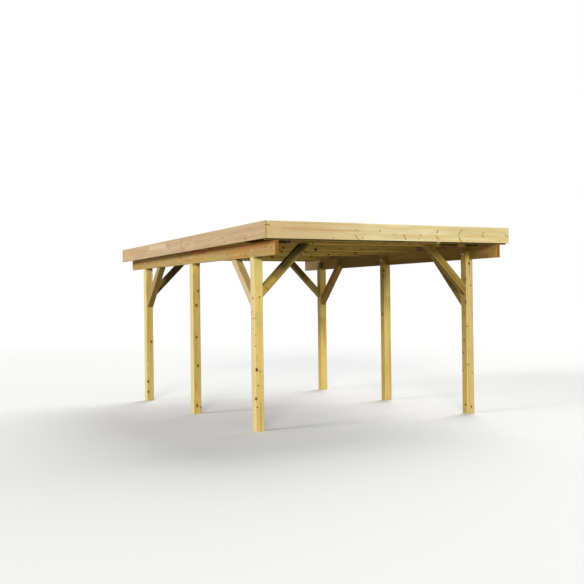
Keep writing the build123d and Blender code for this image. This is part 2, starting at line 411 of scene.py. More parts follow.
class CarportColours(bpy.types.PropertyGroup):
    """Colours of the timbers, metals and rubber, mostly without light on them; the colours of the bay and
    under sides are painted shade, those of the outer sides partly painted light, and some patch colours
    painted shade and painted light.
    """

    __annotations__ = properties(
        colour_property,
        post_pale=("Sapwood of the posts", (0.68, 0.54, 0.19)),
        post_warm=("Heartwood streaks of the posts", (0.57, 0.41, 0.11)),
        # Painted shade: darker colour for sides that face the bay
        post_sheltered=("Sides of the posts that face the bay", (0.36, 0.25, 0.058)),
        # Outer sides: partly weather bleaching, partly painted light
        post_bleached=("Sides of the posts that face outwards", (0.665, 0.59, 0.355)),
        post_knot=("Knots of the posts", (0.080, 0.018, 0.002)),
        beam_pale=("Sapwood of the side beams", (0.435, 0.318, 0.120)),
        beam_warm=("Heartwood streaks of the side beams", (0.40, 0.230, 0.068)),
        # Painted shade on the beams' bay sides
        beam_sheltered=("Sides of the beams that face the bay", (0.40, 0.245, 0.060)),
        cross_pale=("Sapwood of the cross braces", (0.45, 0.325, 0.072)),
        cross_warm=("Heartwood streaks of the cross braces", (0.26, 0.155, 0.034)),
        # Painted shade on the braces' lower sides
        cross_sheltered=("Sides of the cross braces that look down", (0.20, 0.135, 0.032)),
        length_pale=("Sapwood of the length braces", (0.50, 0.37, 0.15)),
        length_warm=("Heartwood streaks of the length braces", (0.40, 0.26, 0.09)),
        # Painted shade on the length braces' lower and bay sides
        length_sheltered=("Sides of the length braces that look down or to the bay", (0.20, 0.135, 0.032)),
        # Outer sides: partly weather bleaching, partly painted light
        length_bleached=("Sides of the length braces that face outwards", (0.585, 0.475, 0.305)),
        rafter_pale=("Sapwood of the rafters", (0.80, 0.63, 0.185)),
        rafter_warm=("Heartwood streaks of the rafters", (0.55, 0.34, 0.085)),
        front_pale=("Sapwood of the front board", (0.82, 0.74, 0.445)),
        front_warm=("Streaks of the front board", (0.745, 0.595, 0.275)),
        front_knot=("Knots on the front of the fascia", (0.26, 0.17, 0.042)),
        side_pale=("Sapwood of the side and rear boards", (0.52, 0.40, 0.24)),
        side_warm=("Streaks of the side and rear boards", (0.475, 0.335, 0.19)),
        knot=("Other knots, and cracks", (0.050, 0.024, 0.007)),
        end_grain=("Sawn ends of the heavy timbers", (0.31, 0.135, 0.016)),
        board_end=("Sawn ends of the fascia boards", (0.58, 0.43, 0.16)),
        # Painted shadow: dark patches laid where shade falls on braces, post heads, rafters and the right
        # beam
        dark_stain=("Dark patches in the wood", (0.056, 0.044, 0.008)),
        red_stain=("Red heartwood patches", (0.42, 0.15, 0.035)),
        pale_stain=("Pale patches in the wood", (0.64, 0.53, 0.36)),
        tan_stain=("Tan patches in the wood", (0.58, 0.40, 0.20)),
        cream_stain=("Cream patches in the wood", (0.76, 0.69, 0.38)),
        # A straw tint, also laid as painted light over shaded posts and braces
        straw_stain=("Straw yellow patches in the wood", (0.92, 0.76, 0.27)),
        # Painted light on the lit rear end of the right beam
        blond_stain=("Blond patches in the wood", (0.92, 0.70, 0.42)),
        green_stain=("Patches tinged by the wood preservative", (0.56, 0.54, 0.15)),
        # Laid as painted shade on the rear right length brace
        auburn_stain=("Auburn patches in the wood", (0.37, 0.205, 0.048)),
        sheet=("Coating of the roof sheets", (0.10, 0.105, 0.11)),
        zinc=("Plating of bolts and roof screws", (0.50, 0.50, 0.48)),
        grime=("Dirt on the zinc", (0.30, 0.26, 0.20)),
        yellow_plate=("Plating of the wood screws", (0.50, 0.38, 0.16)),
        dull_plate=("The same where it is dull", (0.30, 0.21, 0.09)),
        rubber=("Seals under the roof screws", (0.02, 0.02, 0.02)),
        dusty_rubber=("The same under dust", (0.05, 0.05, 0.05)),
    )


class CarportStage(bpy.types.PropertyGroup):
    """Floor, lamps and camera. The lamps' azimuths go round to the left from the front."""

    __annotations__ = {
        **properties(
            length_property,
            floor_size=("Length of the floor's sides", 160.0),
            fade_start=("Where the floor begins to turn white", 6.0),
            fade_end=("Where the floor is white", 45.0),
        ),
        **properties(
            colour_property,
            floor_colour=("Colour of the floor", (0.86, 0.86, 0.85)),
            floor_bounce=("Colour of the light that the floor throws back", (0.405, 0.352, 0.232)),
            key_colour=("Key lamp", (1.0, 0.98, 0.94)),
            side_colour=("Side lamp", (1.0, 1.0, 1.0)),
            rear_colour=("Rear lamp", (1.0, 1.0, 1.0)),
        ),
        **properties(
            angle_property,
            key_azimuth=("Direction of the key lamp", 31),
            key_elevation=("Height of the key lamp", 12),
            key_softness=("Apparent size of the key lamp", 14),
            side_azimuth=("Direction of the side lamp", 88),
            side_elevation=("Height of the side lamp", 18),
            side_softness=("Apparent size of the side lamp", 20),
            rear_azimuth=("Direction of the rear lamp", -130),
            rear_elevation=("Height of the rear lamp", 35),
            rear_softness=("Apparent size of the rear lamp", 45),
            camera_yaw=("Turn to the right from straight ahead", 27.386),
            camera_pitch=("Tilt upwards", 0.426),
            camera_roll=("Turn about the line of sight", -0.7105),
        ),
        **properties(
            bpy.props.FloatProperty,
            key_strength=("Key lamp", 2.25),
            side_strength=("Side lamp", 1.7),
            rear_strength=("Rear lamp", 2.5),
            world_strength=("Light from all round", 0.30),
            focal_pixels=("Focal length in pixels of the picture", 926.3),
            picture_pixels=("Width and height of the picture in pixels", 584.0),
            centre_drop=("Line of sight below the picture's middle, in pixels", 0.5),
        ),
        **properties(
            bpy.props.FloatVectorProperty,
            camera_place=("Where the camera stands", (-6.1506, -11.8109, 1.5311)),
        ),
    }


SETTINGS = {
    "carport_timber": CarportTimber,
    "carport_fixings": CarportFixings,
    "carport_roof": CarportRoof,
    "carport_colours": CarportColours,
    "carport_stage": CarportStage,
}


def timber_settings():
    return bpy.context.scene.carport_timber


def fixing_settings():
    return bpy.context.scene.carport_fixings


def colour_settings():
    return bpy.context.scene.carport_colours


def rgba(colour):
    return (colour[0], colour[1], colour[2], 1.0)


def shaded(colour, *factors):
    """The colour with its channels multiplied, by one factor for all or by one each."""
    if len(factors) == 1:
        factors = factors * 3
    return rgba([channel * factor for channel, factor in zip(colour, factors)])


# Modelling at the bench

def deselect_all():
    bpy.ops.object.select_all(action="DESELECT")


def make_active(piece):
    deselect_all()
    piece.select_set(True)
    bpy.context.view_layer.objects.active = piece


def name_piece(name):
    piece = bpy.context.object
    piece.name = name
    piece.data.name = name
    return piece


def apply_place():
    bpy.ops.object.transform_apply(location=True, rotation=True, scale=True)


def apply_modifier(piece, kind, **settings):
    modifier = piece.modifiers.new(kind.lower(), kind)
    for key, value in settings.items():
        setattr(modifier, key, value)
    make_active(piece)
    bpy.ops.object.modifier_apply(modifier=modifier.name)


@contextmanager
def editing(piece):
    """Edit mode on one piece."""
    make_active(piece)
    bpy.ops.object.mode_set(mode="EDIT")
    yield
    bpy.ops.object.mode_set(mode="OBJECT")


def cut_away(piece, tool):
    """Takes the tool's shape out of the piece, and the tool away."""
    apply_modifier(piece, "BOOLEAN", operation="DIFFERENCE", solver="EXACT", object=tool)
    bpy.data.objects.remove(tool)


def cut_blank(name, low, high):
    """A sawn blank between two opposite corners."""
    deselect_all()
    bpy.ops.mesh.primitive_cube_add(size=1.0, location=(low + high) / 2)
    blank = name_piece(name)
    blank.scale = high - low
    apply_place()
    return blank


def saw(blank, point, normal):
    """Saws the blank along a plane. What lies on the side of the normal falls away."""
    with editing(blank):
        bpy.ops.mesh.select_all(action="SELECT")
        bpy.ops.mesh.bisect(plane_co=point, plane_no=normal, use_fill=True, clear_outer=True)


def roof_fall():
    """Fall of the roof for each metre towards the rear, from the first and last rafter."""
    first_low, first_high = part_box(RAFTERS[0])
    last_low, last_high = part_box(RAFTERS[-1])
    return (first_high.z - last_high.z) / (last_low.y - first_low.y)


def cut_roof_board(node, falling_underside):
    """A blank with its top sawn to the fall of the roof, and its underside too if asked."""
    low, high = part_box(node)
    fall = roof_fall()
    board = cut_blank("timber_" + node, low, high)
    saw(board, (0, low.y, high.z), (0, fall, 1))
    if falling_underside:
        saw(board, (0, high.y, low.z), (0, -fall, -1))
    return board


def shortest_edge(mesh, polygon):
    corners = [mesh.vertices[i].co for i in polygon.vertices]
    return min((a - b).length for a, b in zip(corners, corners[1:] + corners[:1]))


def write_points(mesh, name, values, kind="FLOAT", field="value"):
    mesh.attributes.new(name, kind, "POINT").data.foreach_set(field, values)


def plane_edges(blank):
    """Rounds the edges, and marks the strip beside them, which is painted lighter: partly wear from hands
    and weather, partly a painted highlight.
    """
    settings = timber_settings()
    apply_modifier(
        blank, "BEVEL", width=settings.arris, segments=2, limit_method="ANGLE",
        angle_limit=math.radians(30))
    mesh = blank.data
    for polygon in mesh.polygons:
        polygon.select = shortest_edge(mesh, polygon) > 2 * settings.arris
    with editing(blank):
        bpy.ops.mesh.select_mode(type="FACE")
        bpy.ops.mesh.inset(thickness=settings.worn_margin, use_individual=True)
    worn = [1.0] * len(mesh.vertices)
    for polygon in mesh.polygons:
        if polygon.select:
            for index in polygon.vertices:
                worn[index] = 0.0
    write_points(mesh, "worn", worn)
    make_active(blank)
    bpy.ops.object.shade_smooth()
    apply_modifier(blank, "WEIGHTED_NORMAL", weight=100)


def lay_grain(piece, along, across, pith):
    """Writes each point's place in its log, along and across the grain, and finds the sawn ends."""
    dice = random.Random(piece.name)
    along = Vector(along).normalized()
    across = Vector(across).normalized()
    through = along.cross(across)
    mesh = piece.data
    points = [vertex.co for vertex in mesh.vertices]
    middle = (Vector(map(min, *points)) + Vector(map(max, *points))) / 2
    start = dice.uniform(0.0, LOG_LENGTH)
    stray = Vector((dice.uniform(-PITH_STRAY, PITH_STRAY), dice.uniform(-PITH_STRAY, PITH_STRAY)))
    values = []
    for point in points:
        place = point - middle
        values.append(place.dot(along) + start)
        values.append(place.dot(across) + pith[0] + stray.x)
        values.append(place.dot(through) + pith[1] + stray.y)
    write_points(mesh, "grain", values, "FLOAT_VECTOR", "vector")
    for polygon in mesh.polygons:
        polygon.material_index = 1 if abs(polygon.normal.dot(along)) > END_FACING else 0


def tint_board(piece, node, outer, looks_down):
    """Writes how light the board is, and which points get the outer sides' colour or painted shade.

    A board's outer side gets bleaching and painted light, and the opposite side gets painted shade, and so
    does its lower side if looks_down is set.
    """
    mesh = piece.data
    count = len(mesh.vertices)
    tone = BOARD_TONES.get(node, random.Random(node).uniform(*TONES))
    bleached = [0.0] * count
    sheltered = [0.0] * count
    if outer is not None:
        sides = [vertex.co.x for vertex in mesh.vertices]
        inner = min(sides, key=abs)
        share = BLEACHED_AND_LIT_SHARE.get(node, 1.0)
        bleached = [share if abs(side - outer) < FACE_TOLERANCE else 0.0 for side in sides]
        sheltered = [1.0 if abs(side - inner) < FACE_TOLERANCE else 0.0 for side in sides]
    if looks_down:
        for face in mesh.polygons:
            if face.normal.z < -UNDERSIDE_FACING:
                for index in face.vertices:
                    sheltered[index] = 1.0
    write_points(mesh, "tone", [tone] * count)
    write_points(mesh, "bleached", bleached)
    write_points(mesh, "sheltered", sheltered)


def outer_side(low, high):
    """X of the side that looks away from the bay."""
    return max(low.x, high.x, key=abs)


def finish_timber(piece, node, slot_name, along, across, finishes, outer=None, looks_down=False):
    """Edges, grain and finish, and its place in the frame."""
    plane_edges(piece)
    lay_grain(piece, along, across, PITHS[slot_name])
    tint_board(piece, node, outer, looks_down)
    for finish in finishes:
        piece.data.materials.append(finish)
    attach(piece, "root")
    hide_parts(node)


# Finishes

class NodeBench:
    """Lays nodes out in an emptied tree and joins them up."""

    def __init__(self, tree):
        self.tree = tree
        self.tree.nodes.clear()

    def plug(self, socket, value):
        if isinstance(value, bpy.types.NodeSocket):
            self.tree.links.new(value, socket)
        else:
            socket.default_value = value

    def node(self, kind, **settings):
        made = self.tree.nodes.new(kind)
        for key, value in settings.items():
            setattr(made, key, value)
        return made

    def maths(self, operation, first, second=0.0):
        made = self.node("ShaderNodeMath", operation=operation)
        self.plug(made.inputs[0], first)
        self.plug(made.inputs[1], second)
        return made.outputs[0]

    def times(self, first, second):
        return self.maths("MULTIPLY", first, second)

    def plus(self, first, second):
        return self.maths("ADD", first, second)

    def minus(self, first, second):
        return self.maths("SUBTRACT", first, second)

    def seen_rays(self):
        """1 on rays that show the background: to the camera, off gloss or through something clear."""
        rays = self.node("ShaderNodeLightPath").outputs
        seen = self.maths("MAXIMUM", rays["Is Camera Ray"], rays["Is Glossy Ray"])
        return self.maths("MAXIMUM", seen, rays["Is Transmission Ray"])


class FinishBench(NodeBench):
    """Lays out the nodes of a finish."""

    def __init__(self, name):
        self.material = bpy.data.materials.new(name)
        self.material.use_nodes = True
        super().__init__(self.material.node_tree)
        output = self.node("ShaderNodeOutputMaterial")
        self.shader = self.node("ShaderNodeBsdfPrincipled")
        self.colour = WHITE
        self.plug(output.inputs["Surface"], self.shader.outputs["BSDF"])

    def place(self):
        return self.node("ShaderNodeTexCoord").outputs["Object"]

    def attribute(self, name):
        return self.node("ShaderNodeAttribute", attribute_name=name).outputs

    def vector(self, operation, first, second):
        made = self.node("ShaderNodeVectorMath", operation=operation)
        self.plug(made.inputs[0], first)
        self.plug(made.inputs[1], second)
        return made.outputs["Value" if operation in ("DOT_PRODUCT", "DISTANCE") else "Vector"]

    def scaled(self, vector, factors):
        return self.vector("MULTIPLY", vector, factors)

    def stretch(self, vector, amount):
        made = self.node("ShaderNodeVectorMath", operation="SCALE")
        self.plug(made.inputs[0], vector)
        self.plug(made.inputs["Scale"], amount)
        return made.outputs["Vector"]

    def length(self, vector):
        made = self.node("ShaderNodeVectorMath", operation="LENGTH")
        self.plug(made.inputs[0], vector)
        return made.outputs["Value"]

    def axes(self, vector):
        made = self.node("ShaderNodeSeparateXYZ")
        self.plug(made.inputs[0], vector)
        return made.outputs

    def ease(self, value, start, end, low=0.0, high=1.0):
        made = self.node("ShaderNodeMapRange", interpolation_type="SMOOTHSTEP")
        for key, amount in zip(("Value", "From Min", "From Max", "To Min", "To Max"),
                               (value, start, end, low, high)):
            self.plug(made.inputs[key], amount)
        return made.outputs["Result"]

    def blend(self, factor, first, second, blend_type="MIX"):
        made = self.node("ShaderNodeMix", data_type="RGBA", blend_type=blend_type)
        self.plug(made.inputs[0], factor)
        self.plug(made.inputs[6], first)
        self.plug(made.inputs[7], second)
        return made.outputs[2]

    def lay(self, share, layer):
        """Lays a colour over what the bench holds so far."""
        self.colour = self.blend(share, self.colour, layer)

    def noise(self, vector, scale, detail=2.0, roughness=0.5):
        made = self.node("ShaderNodeTexNoise")
        for key, value in zip(("Vector", "Scale", "Detail", "Roughness"),
                              (vector, scale, detail, roughness)):
            self.plug(made.inputs[key], value)
        return made.outputs

    def grain_noise(self, grain, waves, detail=2.0, roughness=0.5):
        """Noise drawn out along the grain."""
        along, across = waves
        return self.noise(self.scaled(grain, (along, across, across)), 1.0, detail, roughness)

    def cells(self, vector, scale):
        """The distance from the nearest of many strewn points, and a random shade for each of them."""
        made = self.node("ShaderNodeTexVoronoi")
        self.plug(made.inputs["Vector"], vector)
        self.plug(made.inputs["Scale"], scale)
        shades = self.node("ShaderNodeSeparateColor")
        self.plug(shades.inputs["Color"], made.outputs["Color"])
        return made.outputs["Distance"], shades.outputs[0]

    def growth_rings(self, radius, dark, light):
        """Late wood of each ring, which darkens over one range of the ring and ends over another."""
        ring = self.maths("FRACT", self.maths("DIVIDE", radius, timber_settings().ring_pitch))
        return self.minus(self.ease(ring, *dark), self.ease(ring, *light))

    def coat(self, roughness, specular=None, metallic=None):
        """Gives the shader the colour held, the roughness, and what is the same all over."""
        self.plug(self.shader.inputs["Base Color"], self.colour)
        self.plug(self.shader.inputs["Roughness"], roughness)
        for socket, value in (("Specular IOR Level", specular), ("Metallic", metallic)):
            if value is not None:
                self.shader.inputs[socket].default_value = value

    def raise_surface(self, height, distance, strength):
        bump = self.node("ShaderNodeBump")
        self.plug(bump.inputs["Height"], height)
        self.plug(bump.inputs["Distance"], distance)
        self.plug(bump.inputs["Strength"], strength)
        self.plug(self.shader.inputs["Normal"], bump.outputs["Normal"])


def point_on_face(axis, face, along, height):
    """A point of a face that lies across an axis, from millimetres."""
    point = [along / 1000, height / 1000]
    point.insert(axis, face)
    return Vector(point)


def seen_marks(front_marks, left_marks, prefixes):
    """The marks on the nodes whose names start so, in metres and with points as their ends."""
    found = []
    for axis, table in ((1, front_marks), (0, left_marks)):
        for node, marks in table.items():
            if node.startswith(prefixes):
                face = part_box(node)[0][axis]
                for along, height, end_along, end_height, radius, *rest in marks:
                    start = point_on_face(axis, face, along, height)
                    end = point_on_face(axis, face, end_along, end_height)
                    found.append((start, end, radius / 1000, *rest))
    return found


def distance_from_line(bench, place, start, end):
    """Distance of each point from a short straight line."""
    run = end - start
    step = bench.vector("SUBTRACT", place, start)
    share = bench.vector("DOT_PRODUCT", step, run / run.length_squared)
    share = bench.maths("MINIMUM", bench.maths("MAXIMUM", share, 0.0), 1.0)
    return bench.vector("DISTANCE", step, bench.stretch(run, share))


def ragged_place(bench, amount):
    """Object coordinates, pushed about a little so that marks have ragged rims."""
    place = bench.place()
    push = bench.vector("SUBTRACT", bench.noise(place, 70.0)["Color"], (0.5, 0.5, 0.5))
    return bench.vector("ADD", place, bench.stretch(push, amount))


def scattered_knots(bench, grain, knottiness):
    """Distance from small knots strewn through the log, in radii of each knot."""
    distance, shade = bench.cells(
        bench.scaled(grain, (0.8, 1.0, 1.0)), 1.0 / timber_settings().knot_spacing)
    size = bench.minus(shade, 1.0 - knottiness)
    radius = bench.maths("MAXIMUM", bench.times(size, 0.16), 0.002)
    return bench.maths("DIVIDE", distance, radius)


def knot_nearness(bench, nearest, prefixes):
    """Distance from the nearest knot of all, in radii of that knot: 1 is its rim."""
    knots = seen_marks(FRONT_FACE_KNOTS, LEFT_FACE_KNOTS, prefixes)
    if not knots:
        return nearest
    place = ragged_place(bench, 0.009)
    swell = bench.ease(bench.noise(place, 45.0)["Fac"], 0.3, 0.7, 0.75, 1.5)
    for start, end, size in knots:
        gap = distance_from_line(bench, place, start, end)
        gap = bench.maths("DIVIDE", bench.times(gap, swell), size)
        nearest = bench.maths("MINIMUM", nearest, gap)
    return nearest


def stain_and_paint_light(bench, prefixes, shallow=0.0):
    """Lays the broad marks seen on these nodes over the colour: real stained patches, painted shade and
    painted light.

    shallow is how much sooner a mark on a left face ends inside the wood than along the face.
    """
    stained_and_painted = seen_marks(FRONT_FACE_STAINS_AND_PAINTED_LIGHT, LEFT_FACE_STAINS_AND_PAINTED_LIGHT, prefixes)
    if not stained_and_painted:
        return
    place = ragged_place(bench, 0.03)
    for start, end, size, strength, name in stained_and_painted:
        spot = place
        if shallow:
            inside = bench.vector("SUBTRACT", bench.place(), start)
            spot = bench.vector("ADD", place, bench.scaled(inside, (shallow, 0.0, 0.0)))
        gap = bench.maths("DIVIDE", distance_from_line(bench, spot, start, end), size)
        share = bench.times(bench.ease(gap, *STAIN_AND_PAINTED_LIGHT_FADE), strength)
        bench.lay(share, rgba(getattr(colour_settings(), name)))


def timber_finish(name, stem, prefixes, knottiness, checks, seam=None, ring_strength=1.0, shallow=0.0):
    """Planed softwood: rings about the pith, fibres, knots, drying checks, edges painted lighter as wear and
    highlight, and painted shade and light on some sides.

    Its colours are those whose names start with the stem. seam is the Y of a butt joint, beside which
    damp has darkened the wood.
    """
    colours = colour_settings()
    pale, warm, sheltered, bleached, knot_base = (
        getattr(colours, stem + "_" + part, None)
        for part in ("pale", "warm", "sheltered", "bleached", "knot"))
    knot_base = knot_base or colours.knot
    bench = FinishBench(name)
    grain = bench.attribute("grain")["Vector"]
    slow = bench.grain_noise(grain, SWAY)["Color"]
    sway = bench.scaled(bench.vector("SUBTRACT", slow, (0.5, 0.5, 0.5)), (0.0, 0.09, 0.09))
    ripple = bench.grain_noise(grain, RIPPLE)["Fac"]
    nearness = knot_nearness(bench, scattered_knots(bench, grain, knottiness), prefixes)
    knot = bench.ease(nearness, *KNOT_FADE)
    radius = bench.length(bench.scaled(bench.vector("ADD", grain, sway), (0.0, 1.0, 1.0)))
    radius = bench.plus(radius, bench.times(bench.ease(nearness, *SWELL_FADE), 0.014))
    radius = bench.plus(radius, bench.times(ripple, 0.004))
    late = bench.growth_rings(radius, (0.35, 0.85), (0.88, 1.0))
    fibre = bench.grain_noise(grain, FIBRE, 3.0, 0.6)["Fac"]
    streak = bench.grain_noise(grain, STREAK, 3.0, 0.55)["Fac"]
    patch = bench.grain_noise(grain, PATCH)["Fac"]
    split = bench.grain_noise(grain, SPLIT, 1.0)["Fac"]
    check = bench.times(bench.ease(split, 0.735, 0.775), checks)
    bench.colour = bench.blend(bench.ease(streak, 0.38, 0.66), rgba(pale), rgba(warm))
    ring_weight = bench.ease(patch, 0.25, 0.75, 0.22 * ring_strength, 0.55 * ring_strength)
    bench.lay(bench.times(late, ring_weight), shaded(warm, *LATE_WOOD_SHADE))
    # Painted shade on the sides that face the bay or look down
    if sheltered is not None:
        bench.lay(bench.times(bench.attribute("sheltered")["Fac"], PAINTED_SHADE_COVER), rgba(sheltered))
    shade = bench.times(bench.ease(fibre, 0.3, 0.7, 0.88, 1.07), bench.ease(patch, 0.3, 0.7, 0.93, 1.05))
    shade = bench.times(shade, bench.attribute("tone")["Fac"])
    tone = bench.node("ShaderNodeCombineColor")
    for channel in range(3):
        bench.plug(tone.inputs[channel], shade)
    bench.colour = bench.blend(1.0, bench.colour, tone.outputs[0], "MULTIPLY")
    # Outer sides lighter: partly weather bleaching, partly painted light
    if bleached is not None:
        share = bench.times(bench.attribute("bleached")["Fac"], bench.ease(streak, 0.3, 0.7, 0.95, 0.7))
        bench.lay(share, bench.blend(bench.ease(fibre, 0.3, 0.7, 0.0, 0.2), rgba(bleached), rgba(warm)))
    # Edges painted lighter: partly wear, partly a painted highlight
    rubbed_and_highlit = bench.times(bench.attribute("worn")["Fac"], bench.ease(patch, 0.2, 0.6, 0.2, 0.65))
    bench.lay(rubbed_and_highlit, rgba([min(1.0, channel * 1.18 + 0.03) for channel in pale]))
    stain_and_paint_light(bench, prefixes, shallow)
    if seam is not None:
        gap = bench.maths("ABSOLUTE", bench.minus(bench.axes(bench.place())["Y"], seam))
        bench.lay(bench.ease(gap, 0.013, 0.006, 0.0, 0.85), shaded(warm, 0.30))
    bench.lay(bench.times(bench.ease(nearness, *HALO_FADE), HALO_COVER), shaded(warm, *HALO_SHADE))
    knot_rings = bench.maths("FRACT", bench.times(nearness, 4.0))
    heart = bench.blend(bench.ease(knot_rings, 0.2, 0.9), rgba(knot_base), shaded(knot_base, 1.6))
    bench.lay(bench.times(knot, KNOT_COVER), heart)
    bench.lay(bench.times(check, CHECK_COVER), rgba(colours.knot))
    roughness = bench.minus(bench.ease(fibre, 0.25, 0.75, 0.56, 0.74), bench.times(knot, 0.08))
    bench.coat(roughness, specular=0.15)
    height = bench.plus(bench.times(late, 0.35), bench.times(fibre, 0.45))
    height = bench.minus(height, bench.times(check, 1.6))
    height = bench.plus(height, bench.times(knot, 0.4))
    bench.raise_surface(height, 0.0009, 0.55)
    return bench.material


def end_grain_finish(name, colour_name="end_grain", prefixes=()):
    """Sawn end of a timber: full rings, rays and pores."""
    colours = colour_settings()
    pale = getattr(colours, colour_name)
    bench = FinishBench(name)
    grain = bench.attribute("grain")["Vector"]
    section = bench.scaled(grain, (0.0, 1.0, 1.0))
    wobble = bench.grain_noise(grain, WOBBLE)["Fac"]
    radius = bench.plus(bench.length(section), bench.times(wobble, 0.012))
    late = bench.growth_rings(radius, (0.35, 0.9), (0.92, 1.0))
    axes = bench.axes(grain)
    angle = bench.maths("ARCTAN2", axes["Y"], axes["Z"])
    sweep = bench.node("ShaderNodeCombineXYZ")
    bench.plug(sweep.inputs["X"], bench.times(angle, 9.0))
    bench.plug(sweep.inputs["Y"], bench.times(radius, 6.0))
    crack = bench.ease(bench.noise(sweep.outputs[0], 1.0, 1.0)["Fac"], 0.70, 0.76)
    pores = bench.noise(section, 900.0)["Fac"]
    blotch = bench.noise(section, 30.0)["Fac"]
    dark = shaded(pale, *END_RING_SHADE)
    bench.colour = bench.blend(bench.times(late, 0.55), rgba(pale), dark)
    bench.lay(bench.ease(blotch, 0.35, 0.7, 0.0, 0.35), dark)
    bench.lay(bench.times(crack, CHECK_COVER), rgba(colours.knot))
    stain_and_paint_light(bench, prefixes)
    knot = bench.ease(knot_nearness(bench, bench.plus(wobble, 9.0), prefixes), *KNOT_FADE)
    bench.lay(bench.times(knot, 0.9), rgba(colours.front_knot))
    bench.coat(bench.ease(pores, 0.3, 0.7, 0.7, 0.88), specular=0.25)
    height = bench.minus(bench.times(pores, 0.5), bench.times(crack, 1.5))
    height = bench.plus(height, bench.times(late, 0.3))
    bench.raise_surface(height, 0.0008, 0.6)
    return bench.material


def coated_sheet_finish():
    """Coated steel, dulled by a film of dust."""
    coating = colour_settings().sheet
    bench = FinishBench("coated_sheet")
    place = bench.place()
    dust = bench.noise(bench.scaled(place, (5.0, 1.2, 9.0)), 1.0, 5.0, 0.6)["Fac"]
    dusty = rgba([channel * 1.7 + 0.02 for channel in coating])
    bench.colour = bench.blend(bench.ease(dust, 0.42, 0.72, 0.0, 0.6), rgba(coating), dusty)
    bench.coat(bench.ease(dust, 0.35, 0.75, 0.62, 0.82), specular=0.2)
    bench.raise_surface(bench.noise(place, 420.0)["Fac"], 0.0002, 0.35)
    return bench.material


def zinc_finish():
    """Zinc plated steel with a faint spangle, made once for all the operators that use it."""
    name = "zinc_plate"
    if name in bpy.data.materials:
        return bpy.data.materials[name]
    colours = colour_settings()
    bench = FinishBench(name)
    place = bench.place()
    spangle = bench.cells(place, 420.0)[1]
    grime = bench.noise(place, 160.0, 3.0)["Fac"]
    bench.colour = rgba(colours.zinc)
    bench.lay(bench.ease(spangle, 0.1, 0.9, 0.0, 0.5), shaded(colours.zinc, 0.72))
    bench.lay(bench.ease(grime, 0.5, 0.75, 0.0, 0.4), rgba(colours.grime))
    bench.coat(bench.ease(grime, 0.3, 0.7, 0.34, 0.55), metallic=0.85)
    bench.raise_surface(grime, 0.0002, 0.3)
    return bench.material


def speckled_finish(name, scale, detail, window, clean, dull, roughness, metallic=None):
    """Two shades and two roughnesses, mixed by fine noise."""
    bench = FinishBench(name)
    grime = bench.noise(bench.place(), scale, detail)["Fac"]
    bench.colour = bench.blend(bench.ease(grime, *window), rgba(clean), rgba(dull))
    bench.coat(bench.ease(grime, 0.3, 0.7, *roughness), metallic=metallic)
    bench.raise_surface(grime, 0.0002, 0.3)
    return bench.material


# Pieces

class CARPORT_OT_posts(bpy.types.Operator):
    """Six square posts whose heads are notched for the side beams"""

    bl_idname = "carport.posts"
    bl_label = "Posts"

    def execute(self, context):
        finishes = (
            timber_finish("post_timber_face", "post", ("post_",), knottiness=0.34, checks=0.9),
            end_grain_finish("post_timber_end"),
        )
        for row in ROWS:
            for side in SIDES:
                node = "post_%s_%s" % (row, side)
                low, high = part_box(node)
                beam_low, beam_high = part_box("side_beam_" + side)
                post = cut_blank("timber_" + node, low, high)
                housing_low = Vector((beam_low.x, low.y - CUT_MARGIN, beam_low.z))
                housing_high = Vector((beam_high.x, high.y + CUT_MARGIN, high.z + CUT_MARGIN))
                if side == "left":
                    housing_low.x -= CUT_MARGIN
                else:
                    housing_high.x += CUT_MARGIN
                cut_away(post, cut_blank("housing", housing_low, housing_high))
                finish_timber(
                    post, node, "post_timber", (0, 0, 1), (1, 0, 0), finishes, outer_side(low, high))
        return {"FINISHED"}


class CARPORT_OT_side_beams(bpy.types.Operator):
    """Two deep beams that lie in the post heads"""

    bl_idname = "carport.side_beams"
    bl_label = "Side beams"

    def execute(self, context):
        finishes = (
            timber_finish(
                "beam_timber_face", "beam", ("side_beam",), knottiness=0.22, checks=0.6, shallow=3.0),
            end_grain_finish("beam_timber_end"),
        )
        for side in SIDES:
            node = "side_beam_" + side
            low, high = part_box(node)
            beam = cut_blank("timber_" + node, low, high)
            finish_timber(
                beam, node, "beam_timber", (0, 1, 0), (0, 0, 1), finishes, outer_side(low, high))
        return {"FINISHED"}


def brace_runs():
    """Each brace's kind, row and side, and the level direction from the post to where it rises."""
    for row, inward in (("front", 1), ("rear", -1)):
        for side, turn in (("left", 1), ("right", -1)):
            yield "cross", row, side, Vector((turn, 0, 0))
            yield "length", row, side, Vector((0, inward, 0))


def brace_foot(low, high, run):
    """The lower end of a brace on its post's face, in the middle of the post's width."""
    foot = (low + high) / 2
    foot.z = low.z
    if run.x:
        foot.x = low.x if run.x > 0 else high.x
    else:
        foot.y = low.y if run.y > 0 else high.y
    return foot


